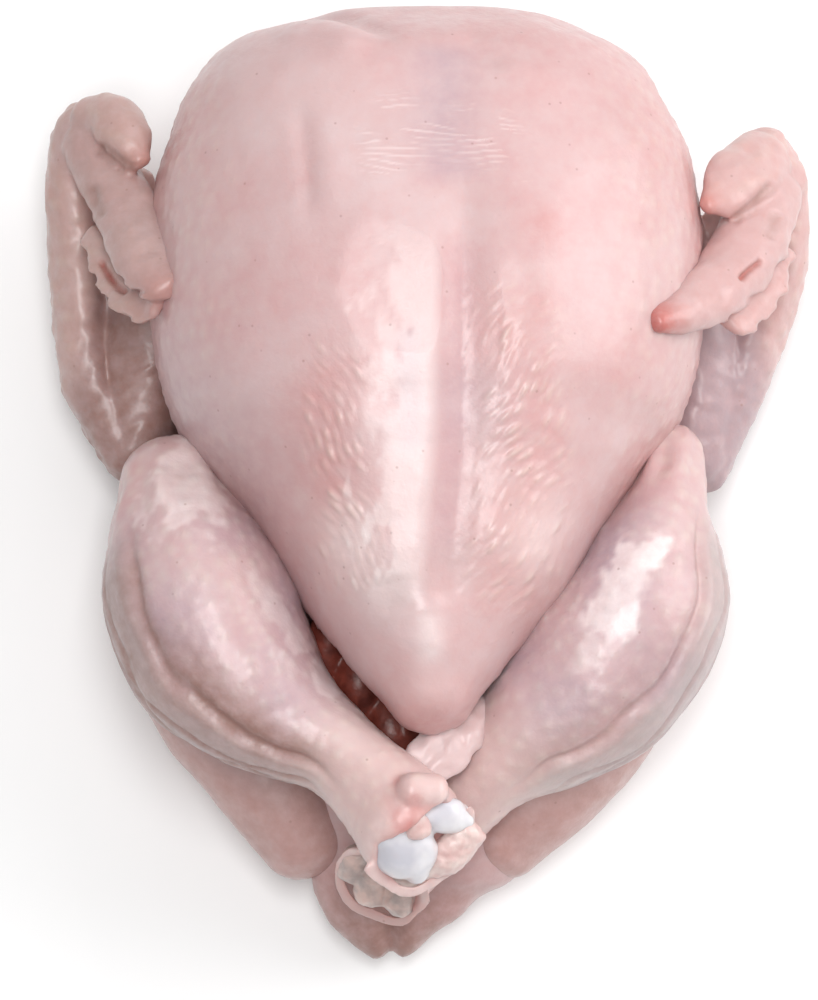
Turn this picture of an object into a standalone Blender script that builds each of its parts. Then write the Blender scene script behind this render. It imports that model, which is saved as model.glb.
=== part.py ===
"""A whole raw chicken lying on its back, breast up, with the drumsticks crossed over the vent.

Metres, +Z up, +Y towards the neck. The origin is on the flat of the back that the bird rests on.
The bird is one solid: breast, back, haunches, drumsticks, wings and tail are lofted separately
and then fused, and the body cavity is cut in from the vent.
"""

import math

import bmesh
import bpy
import numpy as np
from mathutils import Vector

MM = 0.001

# Driving dimensions, in millimetres
BREAST_WIDTH = 158
BREAST_HEIGHT = 115
NECK_Y = 134.5
KEEL_TIP_Y = -74
BACK_WIDTH = 116
BACK_PRESSED_FLAT = 3  # how far the round back is pressed in where the bird rests on it

FUSE_VOXEL = 2.6
FUSE_SMOOTHING = 6
RIM_VOXEL = 2.0
RIM_SMOOTHING = 2
TRIANGLES = 9000
TRUNK_SIDES = 96
LIMB_SIDES = 48

# Breast, in shares: along it from the keel's tip to the neck, half width, underside, top
BREAST = [
    (0.983, 0.58, 0.31, 0.71),
    (0.959, 0.72, 0.23, 0.80),
    (0.926, 0.82, 0.16, 0.86),
    (0.868, 0.91, 0.08, 0.92),
    (0.777, 0.97, 0.02, 0.97),
    (0.662, 1.00, -0.02, 0.99),
    (0.537, 0.99, -0.03, 1.00),
    (0.422, 0.89, 0.00, 0.98),
    (0.336, 0.73, 0.06, 0.97),
    (0.278, 0.62, 0.12, 0.94),
    (0.221, 0.53, 0.19, 0.91),
    (0.163, 0.43, 0.27, 0.88),
    (0.110, 0.33, 0.36, 0.84),
    (0.062, 0.25, 0.43, 0.79),
    (0.029, 0.18, 0.50, 0.74),
]
NECK_CENTRE = 60
KEEL_TIP = 70

# The dip along the keel: how deep, how wide, how far to the side and where it fades out
KEEL_DIP = {"depth": 4.5, "half_width": 5.5, "x": 6, "neck_fade": 66, "tail_fade": -44}
NECK_DIP = {"depth": 2.5, "half_width": 17, "x": 2, "fade": 40}
FADE_LENGTH = 12

# Back and pelvis: y, share of the half width, top; the underside is pressed flat by the cut at z = 0
BACK = [
    (88, 0.79, 44),
    (55, 0.97, 58),
    (15, 1.00, 60),
    (-25, 1.00, 56),
    (-60, 0.93, 46),
    (-88, 0.72, 37),
    (-108, 0.47, 30),
]
BACK_ENDS = ((0, 96, 22), (0, -116, 16))
PELVIS_LIFT = {"from": -60, "rate": 0.1}

# Limbs: centre x, y, z, half width across, half depth up and down
DRUMSTICK_LEFT = [
    (-74, -1, 52, 15.5, 17),
    (-71, -18, 55, 23, 25),
    (-66.5, -33, 57, 27, 28.5),
    (-60, -49, 58, 27, 28),
    (-50, -62, 60, 23, 24.5),
    (-37.5, -72, 63, 16.8, 18),
    (-24, -81.5, 67, 12.5, 13),
    (-10.5, -94, 73, 14, 13.5),
    (-3, -101, 75, 16, 15),
]
DRUMSTICK_RIGHT = [
    (70, 6, 49, 9, 13),
    (67, -8, 52, 13, 18),
    (64, -23, 54, 19.5, 23),
    (60, -38, 55, 24, 27),
    (48.5, -56.5, 55, 24.5, 25),
    (33.5, -70, 53, 19.5, 20.5),
    (21.5, -80.5, 50, 13.5, 14.5),
    (13, -88, 47.5, 11.5, 12.5),
    (2, -98, 44.5, 12, 12.5),
    (-8, -110, 43, 13.5, 13),
]
HAUNCH_LEFT = [
    (-75, 2, 38, 14, 17),
    (-70, -24, 30, 23, 29),
    (-58, -54, 26, 24, 26),
    (-46, -79, 22, 18, 21),
    (-35, -98, 18, 13.5, 15),
]
HAUNCH_RIGHT = [
    (66, 3, 36, 11, 15),
    (58, -22, 29, 19, 28),
    (49, -54, 26, 23.5, 26),
    (35, -79, 22, 19.5, 21),
    (20, -97, 18, 14.5, 15),
]
TAIL = [
    (-9, -98, 17, 22, 13),
    (-11, -116, 15, 23, 12),
    (-11, -126, 13, 17, 9),
]
NECK_SKIN = [
    (6, 112, 90, 26, 8),
    (8, 126, 70, 34, 8),
    (8, 130, 46, 36, 8),
    (6, 122, 22, 32, 8),
    (3, 104, 9, 26, 7),
]
# The bare ends of the leg bones, the folded skin over the vent and the skin between the wing bones
KNUCKLES_LEFT = [
    [(-10, -106, 78, 10, 9), (-5, -113, 81, 10, 9)],
    [(2, -103, 80, 9, 8), (6, -109, 83, 9, 8)],
]
KNUCKLES_RIGHT = [
    [(-15, -112, 42, 9, 9), (-18, -119, 42, 9, 8)],
    [(-7, -114, 39, 9, 9), (-9, -121, 38, 9, 8)],
]
VENT_FOLD = [(15, -68, 64, 5, 3), (7, -77, 66, 8, 3), (-2, -87, 69, 7, 3)]
UPPER_ARM_LEFT = [(-58, 92, 38, 17, 19), (-78, 54, 28, 15, 15), (-85, 18, 22, 12, 12)]
UPPER_ARM_RIGHT = [(58, 88, 38, 17, 19), (78, 46, 28, 14, 15), (77, 12, 22, 11, 12)]
FOREARM_LEFT = [
    (-85.5, 14, 22, 9, 11),
    (-97.5, 34, 24, 8.5, 12),
    (-101, 57, 27, 8.5, 12.5),
    (-102, 76, 32, 8.7, 12.5),
    (-102, 92, 38, 9, 12),
    (-99, 104, 43, 9, 11),
]
FOREARM_RIGHT = [
    (80.5, 10, 20, 8, 10),
    (88.5, 30, 23, 9, 11),
    (97, 51, 28, 9.5, 12),
    (101.5, 70, 34, 9.5, 12.5),
    (102, 85, 38, 9, 12),
    (98, 96, 42, 9, 11),
]
HAND_LEFT = [
    (-97, 99, 50, 8.5, 8),
    (-91, 87, 57, 9, 7.5),
    (-84.5, 74, 66, 9.5, 7),
    (-79.5, 60, 76, 9.5, 6),
    (-73.5, 49, 84, 6.5, 4.5),
]
HAND_RIGHT = [
    (98, 84, 52, 10, 9),
    (92.5, 68, 61, 10.5, 8.5),
    (84, 54, 72, 9.5, 7.5),
    (74, 43.5, 84, 7.5, 6),
    (64, 37, 94, 3.6, 3.4),
]
THUMB_LEFT = [
    (-97, 106, 52, 7, 6),
    (-90, 104, 59, 7.5, 5.5),
    (-85.5, 96, 64.5, 7.5, 5),
    (-82.5, 89.5, 67, 4.5, 3),
]
THUMB_RIGHT = [
    (97, 94, 54, 9, 6.5),
    (90, 86, 64, 10, 5.5),
    (84, 79, 69, 7.5, 4),
    (80, 76, 71, 3, 2.5),
]
WEB_LEFT = [(-92, 22, 20, 9, 8), (-91, 46, 24, 13, 8), (-89, 72, 30, 13, 8), (-90, 90, 38, 11, 7)]
WEB_RIGHT = [(82, 16, 20, 9, 8), (87, 40, 25, 13, 8), (89, 62, 32, 14, 8), (92, 80, 40, 11, 7)]
CAVITY = [
    (-3, -99, 51, 21, 15),
    (-2, -80, 46, 27, 20),
    (0, -48, 46, 35, 27),
    (0, -8, 48, 40, 31),
    (0, 36, 51, 36, 29),
]


def through(rows, count):
    """Rows read off a smooth curve through the given ones, evenly by row."""
    rows = np.array(rows, float)
    ends = np.vstack([2 * rows[0] - rows[1], rows, 2 * rows[-1] - rows[-2]])
    found = []
    for place in np.linspace(0, len(rows) - 1, count):
        k = min(int(place), len(rows) - 2)
        t = place - k
        before, start, end, after = ends[k : k + 4]
        found.append(
            0.5
            * (
                2 * start
                + (end - before) * t
                + (2 * before - 5 * start + 4 * end - after) * t**2
                + (3 * start - before - 3 * end + after) * t**3
            )
        )
    return np.array(found)


def skin_over(name, rings, first, last):
    """A closed mesh over the rings of points, with a pole at each end."""
    bm = bmesh.new()
    loops = [[bm.verts.new(Vector(p) * MM) for p in ring] for ring in rings]
    for a, b in zip(loops, loops[1:]):
        for i in range(len(a)):
            j = (i + 1) % len(a)
            bm.faces.new((a[i], a[j], b[j], b[i]))
    for loop, pole in ((loops[0], first), (loops[-1], last)):
        tip = bm.verts.new(Vector(pole) * MM)
        for i in range(len(loop)):
            bm.faces.new((loop[i], loop[(i + 1) % len(loop)], tip))
    bmesh.ops.recalc_face_normals(bm, faces=bm.faces)
    mesh = bpy.data.meshes.new(name)
    bm.to_mesh(mesh)
    bm.free()
    body = bpy.data.objects.new(name, mesh)
    bpy.context.scene.collection.objects.link(body)
    return body


def rising(value):
    """0 well below zero and 1 well above it, turning over within FADE_LENGTH."""
    return 1 / (1 + math.exp(-4 * value / FADE_LENGTH))


def breast_relief(x, y):
    """How far the top of the breast lies below its plain arch: the keel's dip and the wide one before it."""
    keel, neck = KEEL_DIP, NECK_DIP
    along = rising(keel["neck_fade"] - y) * rising(y - keel["tail_fade"])
    dip = keel["depth"] * along * math.exp(-(((x - keel["x"]) / keel["half_width"]) ** 2))
    wide = neck["depth"] * rising(y - neck["fade"])
    return dip + wide * math.exp(-(((x - neck["x"]) / neck["half_width"]) ** 2))


def no_relief(x, y):
    return 0


def trunk(name, rows, ends, squareness, widest_share, relief=no_relief):
    """A body lofted along Y: each ring is an upper and a lower half of a superellipse."""
    rings = []
    for y, half_width, low, high in through(rows, 3 * len(rows)):
        widest = low + widest_share * (high - low)
        ring = []
        for side in range(TRUNK_SIDES):
            angle = 2 * math.pi * side / TRUNK_SIDES
            c, s = math.cos(angle), math.sin(angle)
            x = half_width * math.copysign(abs(c) ** squareness, c)
            reach = high - widest if s > 0 else widest - low
            z = widest + reach * math.copysign(abs(s) ** squareness, s)
            ring.append((x, y, z - max(s, 0) * relief(x, y)))
        rings.append(ring)
    return skin_over(name, rings, *ends)


def limb(name, rows, cap=0.8, top=(0, 0, 1)):
    """A limb lofted along its own line, with elliptical rings and rounded ends."""
    rows = through(rows, 5 * len(rows))
    centres = rows[:, :3]
    along = np.gradient(centres, axis=0)
    along /= np.linalg.norm(along, axis=1)[:, None]
    across = np.cross(along, top)
    across /= np.linalg.norm(across, axis=1)[:, None]
    rise = np.cross(across, along)
    steps = [math.radians(a) for a in (72, 50, 28)]
    stations = []
    for turn in steps:
        stations.append((0, -cap * math.sin(turn), math.cos(turn)))
    stations += [(k, 0, 1) for k in range(len(rows))]
    for turn in reversed(steps):
        stations.append((len(rows) - 1, cap * math.sin(turn), math.cos(turn)))
    rings = []
    for k, out, share in stations:
        half_width, half_depth = rows[k, 3:5]
        middle = centres[k] + along[k] * out * half_depth
        rings.append(
            [
                middle
                + across[k] * half_width * share * math.cos(2 * math.pi * i / LIMB_SIDES)
                + rise[k] * half_depth * share * math.sin(2 * math.pi * i / LIMB_SIDES)
                for i in range(LIMB_SIDES)
            ]
        )
    first = centres[0] - along[0] * cap * rows[0, 4]
    last = centres[-1] + along[-1] * cap * rows[-1, 4]
    return skin_over(name, rings, first, last)


def block(name, low, high):
    """A plain box between two corners in millimetres, used as a cutter."""
    bpy.ops.mesh.primitive_cube_add(size=1)
    box = bpy.context.active_object
    box.name = name
    box.scale = [(b - a) * MM for a, b in zip(low, high)]
    box.location = [(a + b) / 2 * MM for a, b in zip(low, high)]
    bpy.ops.object.transform_apply(location=True, rotation=True, scale=True)
    return box


def as_cutter(body):
    body.hide_render = True
    body.display_type = "WIRE"
    return body


def join(name, pieces):
    bpy.ops.object.select_all(action="DESELECT")
    for piece in pieces:
        piece.select_set(True)
    bpy.context.view_layer.objects.active = pieces[0]
    bpy.ops.object.join()
    pieces[0].name = name
    return pieces[0]


def cut(body, cutter, name):
    modifier = body.modifiers.new(name, "BOOLEAN")
    modifier.operation = "DIFFERENCE"
    modifier.object = cutter


def fuse(body, voxel, smoothing):
    """Turns overlapping lofts, or a skin with sharp cut rims, into one even skin."""
    modifier = body.modifiers.new("Fuse", "REMESH")
    modifier.mode = "VOXEL"
    modifier.voxel_size = voxel * MM
    modifier = body.modifiers.new("Relax", "SMOOTH")
    modifier.factor = 0.5
    modifier.iterations = smoothing


def thin_out(body, triangles):
    """Collapses the even skin to the triangles it needs."""
    modifier = body.modifiers.new("Thin", "DECIMATE")
    graph = bpy.context.evaluated_depsgraph_get()
    mesh = body.evaluated_get(graph).to_mesh()
    mesh.calc_loop_triangles()
    modifier.ratio = min(1.0, triangles / len(mesh.loop_triangles))
    modifier.use_collapse_triangulate = True


def raw_skin():
    material = bpy.data.materials.new("raw skin")
    material.use_nodes = True
    shader = material.node_tree.nodes["Principled BSDF"]
    shader.inputs["Base Color"].default_value = (0.78, 0.55, 0.52, 1)
    shader.inputs["Roughness"].default_value = 0.35
    shader.inputs["Metallic"].default_value = 0
    return material


def breast():
    length = NECK_Y - KEEL_TIP_Y
    rows = []
    for along, width, low, high in BREAST:
        y = KEEL_TIP_Y + along * length
        rows.append((y, width * BREAST_WIDTH / 2, low * BREAST_HEIGHT, high * BREAST_HEIGHT))
    ends = ((0, NECK_Y, NECK_CENTRE), (0, KEEL_TIP_Y, KEEL_TIP))
    return trunk("breast", rows, ends, 0.82, 0.47, breast_relief)


def back():
    rows = []
    for y, width, high in BACK:
        low = PELVIS_LIFT["rate"] * max(0, PELVIS_LIFT["from"] - y) - BACK_PRESSED_FLAT
        rows.append((y, width * BACK_WIDTH / 2, low, high))
    return trunk("back", rows, BACK_ENDS, 0.85, 0.45)


def lofts():
    """Every mass of the bird as its own closed loft."""
    return [
        breast(),
        back(),
        limb("drumstick_left", DRUMSTICK_LEFT),
        limb("drumstick_right", DRUMSTICK_RIGHT),
        limb("haunch_left", HAUNCH_LEFT),
        limb("haunch_right", HAUNCH_RIGHT),
        limb("tail", TAIL),
        limb("neck_skin", NECK_SKIN, top=(0, 1, 0)),
        limb("vent_fold", VENT_FOLD),
        limb("upper_arm_left", UPPER_ARM_LEFT),
        limb("upper_arm_right", UPPER_ARM_RIGHT),
        limb("web_left", WEB_LEFT),
        limb("web_right", WEB_RIGHT),
        limb("forearm_left", FOREARM_LEFT),
        limb("forearm_right", FOREARM_RIGHT),
        limb("hand_left", HAND_LEFT),
        limb("hand_right", HAND_RIGHT),
        limb("thumb_left", THUMB_LEFT),
        limb("thumb_right", THUMB_RIGHT),
        *(limb("knuckle", rows) for rows in KNUCKLES_LEFT + KNUCKLES_RIGHT),
    ]


def main():
    for old in list(bpy.data.objects):
        bpy.data.objects.remove(old)
    chicken = join("chicken", lofts())
    chicken.data.materials.append(raw_skin())
    fuse(chicken, FUSE_VOXEL, FUSE_SMOOTHING)
    cavity = as_cutter(limb("cavity", CAVITY))
    cut(chicken, cavity, "Cavity")
    fuse(chicken, RIM_VOXEL, RIM_SMOOTHING)
    below = as_cutter(block("table", (-200, -250, -60), (200, 250, 0)))
    cut(chicken, below, "Flat back")
    thin_out(chicken, TRIANGLES)
    chicken.data.shade_smooth()


main()
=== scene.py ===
import math
import bpy
import numpy as np
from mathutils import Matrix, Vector, noise


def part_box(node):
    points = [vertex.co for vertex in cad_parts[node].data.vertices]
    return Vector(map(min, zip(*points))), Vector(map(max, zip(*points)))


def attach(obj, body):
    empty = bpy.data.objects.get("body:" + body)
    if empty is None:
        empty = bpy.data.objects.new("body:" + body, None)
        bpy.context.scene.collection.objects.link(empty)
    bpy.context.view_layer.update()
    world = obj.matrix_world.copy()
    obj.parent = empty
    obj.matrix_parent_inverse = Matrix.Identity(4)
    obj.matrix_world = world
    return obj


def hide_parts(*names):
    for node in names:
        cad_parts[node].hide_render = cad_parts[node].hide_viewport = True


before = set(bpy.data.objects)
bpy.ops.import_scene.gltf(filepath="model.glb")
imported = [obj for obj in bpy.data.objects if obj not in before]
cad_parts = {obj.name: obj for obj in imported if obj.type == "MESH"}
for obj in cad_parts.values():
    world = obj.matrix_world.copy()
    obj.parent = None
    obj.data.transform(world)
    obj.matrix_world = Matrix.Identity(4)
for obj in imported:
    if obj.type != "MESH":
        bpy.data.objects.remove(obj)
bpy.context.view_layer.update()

low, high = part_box("chicken")
birdLength = 270.9
mm = (high[1] - low[1]) / birdLength  # the tables below are in millimetres, for a bird this long
boxLow, boxHigh = np.array(low) / mm, np.array(high) / mm
edgeGap = 0.05
lobeSteps, limbSteps = 200, 60  # how finely a lobe's and a limb's middle line is read


def pick(*pieces):
    bpy.ops.object.select_all(action="DESELECT")
    for piece in pieces:
        piece.select_set(True)
    bpy.context.view_layer.objects.active = pieces[0]


def modify(piece, kind, **settings):
    pick(piece)
    modifier = piece.modifiers.new(kind.title(), kind)
    for key, value in settings.items():
        setattr(modifier, key, value)
    bpy.ops.object.modifier_apply(modifier=modifier.name)


def pointsOf(piece):
    points = np.empty(len(piece.data.vertices) * 3, np.float32)
    piece.data.vertices.foreach_get("co", points)
    return points.reshape(-1, 3).astype(float) / mm


def normalsOf(piece):
    normals = np.empty(len(piece.data.vertices) * 3, np.float32)
    piece.data.vertex_normals.foreach_get("vector", normals)
    return normals.reshape(-1, 3).astype(float)


def movePoints(piece, points):
    piece.data.vertices.foreach_set("co", (points * mm).astype(np.float32).ravel())
    piece.data.update()


def paint(piece, name, values):
    layer = piece.data.attributes.new(name, "FLOAT", "POINT")
    layer.data.foreach_set("value", np.clip(values, 0, 1).astype(np.float32))


def paintVector(piece, name, values):
    layer = piece.data.attributes.new(name, "FLOAT_VECTOR", "POINT")
    layer.data.foreach_set("vector", values.astype(np.float32).ravel())


def ease(values, start, end):  # 0 at start, 1 at end, with soft ends
    t = np.clip((values - start) / (end - start), 0, 1)
    return t * t * (3 - 2 * t)


def ripples(points, size, seed):  # smooth noise from -1 to 1, with waves of this size
    return np.array([noise.noise(p) for p in points / np.array(size) + seed])


def ridge(values, middle, width):  # 1 at the middle, fading to both sides
    return np.exp(-(((values - middle) / width) ** 2))


def smoothRows(rows, count):  # rows read evenly off a smooth curve through the given ones
    rows = np.array(rows, float)
    ends = np.vstack([2 * rows[0] - rows[1], rows, 2 * rows[-1] - rows[-2]])
    places = np.linspace(0, len(rows) - 1, count)
    k = np.minimum(places.astype(int), len(rows) - 2)
    t = (places - k)[:, None]
    a, b, c, d = (ends[k + step] for step in range(4))
    bent = 0.5 * (2 * b + (c - a) * t + (2 * a - 5 * b + 4 * c - d) * t**2 + (3 * b - a - 3 * c + d) * t**3)
    gone = np.append(0, np.cumsum(np.linalg.norm(np.diff(bent[:, :3], axis=0), axis=1)))
    even = np.linspace(0, gone[-1], count)
    return np.column_stack([np.interp(even, gone, column) for column in bent.T]), gone[-1]


def frameAlong(centres, top):
    along = np.gradient(centres, axis=0)
    along /= np.linalg.norm(along, axis=1)[:, None]
    across = np.cross(along, top)
    across /= np.linalg.norm(across, axis=1)[:, None]
    return along, across, np.cross(across, along)


def lobe(name, rows, square=1.0, blunt=(0.8, 0.8), top=(0, 0, 1), fine=64):
    # A UV sphere whose rings are moved onto rows of x, y, z, half width, half depth above and below
    bpy.ops.object.select_all(action="DESELECT")
    bpy.ops.mesh.primitive_uv_sphere_add(segments=fine, ring_count=fine)
    body = bpy.context.active_object
    body.name = name
    ball = pointsOf(body) * mm
    path, length = smoothRows(rows, lobeSteps)
    startCap, endCap = blunt[0] * path[0, 4], blunt[1] * path[-1, 4]
    place = (1 - ball[:, 2]) / 2 * (length + startCap + endCap) - startCap
    over = np.where(place < 0, place / startCap, np.where(place > length, (place - length) / endCap, 0))
    share = np.sqrt(np.clip(1 - over**2, 0, 1))
    k = np.clip(place / length, 0, 1) * (lobeSteps - 1)
    k0 = np.minimum(k.astype(int), lobeSteps - 2)
    t = (k - k0)[:, None]
    row = path[k0] * (1 - t) + path[k0 + 1] * t
    along, across, rise = (v[k0] * (1 - t) + v[k0 + 1] * t for v in frameAlong(path[:, :3], top))
    turn = np.arctan2(ball[:, 1], ball[:, 0])
    c, s = np.cos(turn), np.sin(turn)
    up = row[:, 4]
    down = row[:, 5] if path.shape[1] > 5 else up
    depth = np.where(s > 0, up, down) * np.sign(s) * np.abs(s) ** square
    width = row[:, 3] * np.sign(c) * np.abs(c) ** square
    ahead = np.where(place < 0, place, np.where(place > length, place - length, 0))
    points = row[:, :3] + along * ahead[:, None]
    points += across * (width * share)[:, None] + rise * (depth * share)[:, None]
    movePoints(body, points)
    pick(body)
    bpy.ops.object.mode_set(mode="EDIT")
    bpy.ops.mesh.select_all(action="SELECT")
    bpy.ops.mesh.normals_make_consistent(inside=False)
    bpy.ops.object.mode_set(mode="OBJECT")
    return body


def trunkRows(rows, widest):
    # Rows of y, middle x, half width, underside and top become rows for a lobe along y. Towards the neck
    # the middle stays level, because a line that rose there would fold the end over
    out = []
    for y, x, half, under, over in rows:
        middle = neckLevel if y > neckStart else under + widest * (over - under)
        out.append((x, y, middle, half, over - middle, middle - under))
    return out


def fuse(name, lobes, voxel, smoothing, cutters=()):
    pick(*lobes)
    if len(lobes) > 1:
        bpy.ops.object.join()
    body = bpy.context.active_object
    body.name = name
    modify(body, "REMESH", mode="VOXEL", voxel_size=(2 * voxel if cutters else voxel) * mm)
    for cutter in cutters:
        modify(body, "BOOLEAN", operation="DIFFERENCE", object=cutter)
        bpy.data.objects.remove(cutter)
    if cutters:
        modify(body, "REMESH", mode="VOXEL", voxel_size=voxel * mm)
    modify(body, "SMOOTH", factor=0.5, iterations=smoothing)
    body.data.shade_smooth()
    return body


def refine(piece, chosen, cuts):
    # Cuts the faces between the chosen points smaller, so that finer relief fits there
    pick(piece)
    bpy.ops.object.mode_set(mode="EDIT")
    bpy.ops.mesh.select_mode(type="VERT")
    bpy.ops.mesh.select_all(action="DESELECT")
    bpy.ops.object.mode_set(mode="OBJECT")
    piece.data.vertices.foreach_set("select", chosen)
    bpy.ops.object.mode_set(mode="EDIT")
    bpy.ops.mesh.subdivide(number_cuts=cuts)
    bpy.ops.mesh.vertices_smooth(factor=0.5, repeat=3)
    bpy.ops.object.mode_set(mode="OBJECT")


def settle(piece):  # keeps a piece inside the frame, which also presses the underside flat on the table
    movePoints(piece, np.clip(pointsOf(piece), boxLow + edgeGap, boxHigh - edgeGap))


def curveThrough(rows):
    return smoothRows(rows, 18)[0]


def nearest(points, line, flat=True):
    # Distance of each point from a line of points, seen from above when flat, and the share along it
    line = np.array(line, float)
    size = 2 if flat else 3
    p = points[:, :size]
    best = np.full(len(p), 1e9)
    share = np.zeros(len(p))
    steps = np.linalg.norm(np.diff(line[:, :size], axis=0), axis=1)
    gone = np.append(0, np.cumsum(steps))
    for k in range(len(line) - 1):
        a, b = line[k, :size], line[k + 1, :size]
        t = np.clip(((p - a) @ (b - a)) / steps[k] ** 2, 0, 1)
        d = np.linalg.norm(p - a - t[:, None] * (b - a), axis=1)
        near = d < best
        best[near] = d[near]
        share[near] = (gone[k] + t[near] * steps[k]) / gone[-1]
    return best, share


def band(points, line, width, fade=0.15):
    # 1 along a line, fading to the sides over the width and towards both ends
    distance, share = nearest(points, curveThrough(line))
    return ridge(distance, 0, width) * ease(share, 0, fade) * ease(1 - share, 0, fade)


def bands(points, lines):  # line, width, strength
    return sum(strength * band(points, line, width) for line, width, strength in lines)


def spots(points, places):  # soft round patches: x, y, z, radius, strength
    total = np.zeros(len(points))
    for x, y, z, radius, strength in places:
        total += strength * np.exp(-(((points - (x, y, z)) / radius) ** 2).sum(1))
    return total


cellHash = np.array([[127.1, 269.5], [311.7, 183.3]])  # scatters the mounds, the same way every run


def mounds(u, v, seed, fill=0.33):
    # Heights of small bumps, one to a cell of a unit grid and a little off its middle
    cell = np.stack([u, v], -1)
    base = np.floor(cell)
    found = np.zeros(len(u))
    for i in (-1, 0, 1):
        for j in (-1, 0, 1):
            corner = base + (i, j)
            jitter = np.sin(corner @ cellHash + seed) * 43758.5453
            jitter -= np.floor(jitter)
            middle = corner + 0.5 + (jitter - 0.5) * 0.6
            middle[:, 0] += 0.5 * (corner[:, 1] % 2)  # every other row is set half a cell along
            size = 0.35 + 0.65 * (jitter[:, 0] * 7.3 % 1)
            found = np.maximum(found, size * ridge(np.linalg.norm(cell - middle, axis=1), 0, fill))
    return found


def limbPlace(points, rows):
    # How far along the limb each point lies, the angle round it, 0 at its upper side, and its half width
    path, length = smoothRows(rows, limbSteps)
    along, across, rise = frameAlong(path[:, :3], (0, 0, 1))
    best = np.full(len(points), 1e9)
    k = np.zeros(len(points), int)
    for step, centre in enumerate(path[:, :3]):
        away = ((points - centre) ** 2).sum(1)
        near = away < best
        best[near] = away[near]
        k[near] = step
    away = points - path[k, :3]
    ahead = (away * along[k]).sum(1)
    turn = np.degrees(np.arctan2((away * across[k]).sum(1), (away * rise[k]).sum(1)))
    return k / (limbSteps - 1) * length + ahead, turn, path[k, 3]


def ride(piece):
    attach(piece, "root")
    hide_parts("chicken")


def linear(code):
    parts = [int(code[i : i + 2], 16) / 255 for i in (1, 3, 5)]
    return [p / 12.92 if p <= 0.04045 else ((p + 0.055) / 1.055) ** 2.4 for p in parts] + [1]


def addNode(tree, kind, settings=None, links=None):
    made = tree.nodes.new("ShaderNode" + kind)
    for key, value in (settings or {}).items():
        setattr(made, key, value)
    for socket, value in (links or {}).items():
        if isinstance(value, bpy.types.NodeSocket):
            tree.links.new(value, made.inputs[socket])
        else:
            made.inputs[socket].default_value = value
    return made


def noiseNode(tree, place, sizeMm, detail, roughness=0.5):  # noise with patches about this wide
    return addNode(tree, "TexNoise", None, {
        "Vector": place, "Scale": 1 / (sizeMm * mm), "Detail": detail, "Roughness": roughness,
    })


def mixColours(tree, share, first, second):
    return addNode(tree, "Mix", {"data_type": "RGBA"}, {0: share, 6: first, 7: second}).outputs[2]


def remap(tree, value, start, end, low=0.0, high=1.0):  # start to end becomes low to high
    return addNode(tree, "MapRange", None, {
        "Value": value, "From Min": start, "From Max": end, "To Min": low, "To Max": high,
    }).outputs[0]


def newMaterial(name):
    material = bpy.data.materials.new(name)
    material.use_nodes = True
    return material, material.node_tree, material.node_tree.nodes["Principled BSDF"]


def addBump(tree, shader, height, depthMm):
    bump = addNode(tree, "Bump", None, {"Height": height, "Strength": 1.0, "Distance": depthMm * mm})
    tree.links.new(bump.outputs[0], shader.inputs["Normal"])


def setUniform(shader, finish):
    # The numbers that are the same all over a wet, part clear surface
    shader.subsurface_method = "BURLEY"  # quicker than a random walk, and alike on skin this thin
    shader.inputs["Subsurface Weight"].default_value = finish["subsurface"]
    shader.inputs["Subsurface Radius"].default_value = finish["scatterColour"]
    shader.inputs["Subsurface Scale"].default_value = finish["scatterMm"] * mm
    shader.inputs["IOR"].default_value = fleshIor
    shader.inputs["Coat Weight"].default_value = finish["wet"]
    shader.inputs["Coat Roughness"].default_value = finish["wetRoughness"]
    shader.inputs["Coat IOR"].default_value = juiceIor


fleshIor, juiceIor = 1.4, 1.45
skinFinish = {
    # the mounds' paler skin, also used on the fans' wrinkle leaves as painted highlight
    "pale": "#CAB0B0", "pink": "#C49796", "paleMoundsAndLeafHighlight": "#CFBDB4",
    # paleAndHighlight is a pale tint for pale skin and for painted highlights; shade is a tint for painted
    # shade and the pits
    "tints": {
        "blush": "#BF7F7B", "lilac": "#A8959F", "cream": "#C8AD99", "silver": "#B0AAA8",
        "shade": "#95726A", "blood": "#AC4339", "flesh": "#5C231C", "paleAndHighlight": "#EADCDA",
    },
    "cloudMm": 26, "mottleMm": 5, "mottleShare": 0.45, "pinkFrom": 0.42, "pinkTo": 1.1,
    "roughness": 0.42, "roughnessSpread": 0.06, "wet": 0.45, "wetRoughness": 0.24,
    "subsurface": 0.3, "scatterMm": 2.0, "scatterColour": (1.0, 0.42, 0.3),
    "pitMm": 6.5, "pitShade": 0.45,
    "fibreDepth": 0.14, "poreMm": 2.2, "poreDepth": 0.14, "grainMm": 0.9, "grainDepth": 0.05, "bumpMm": 0.9,
}


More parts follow.
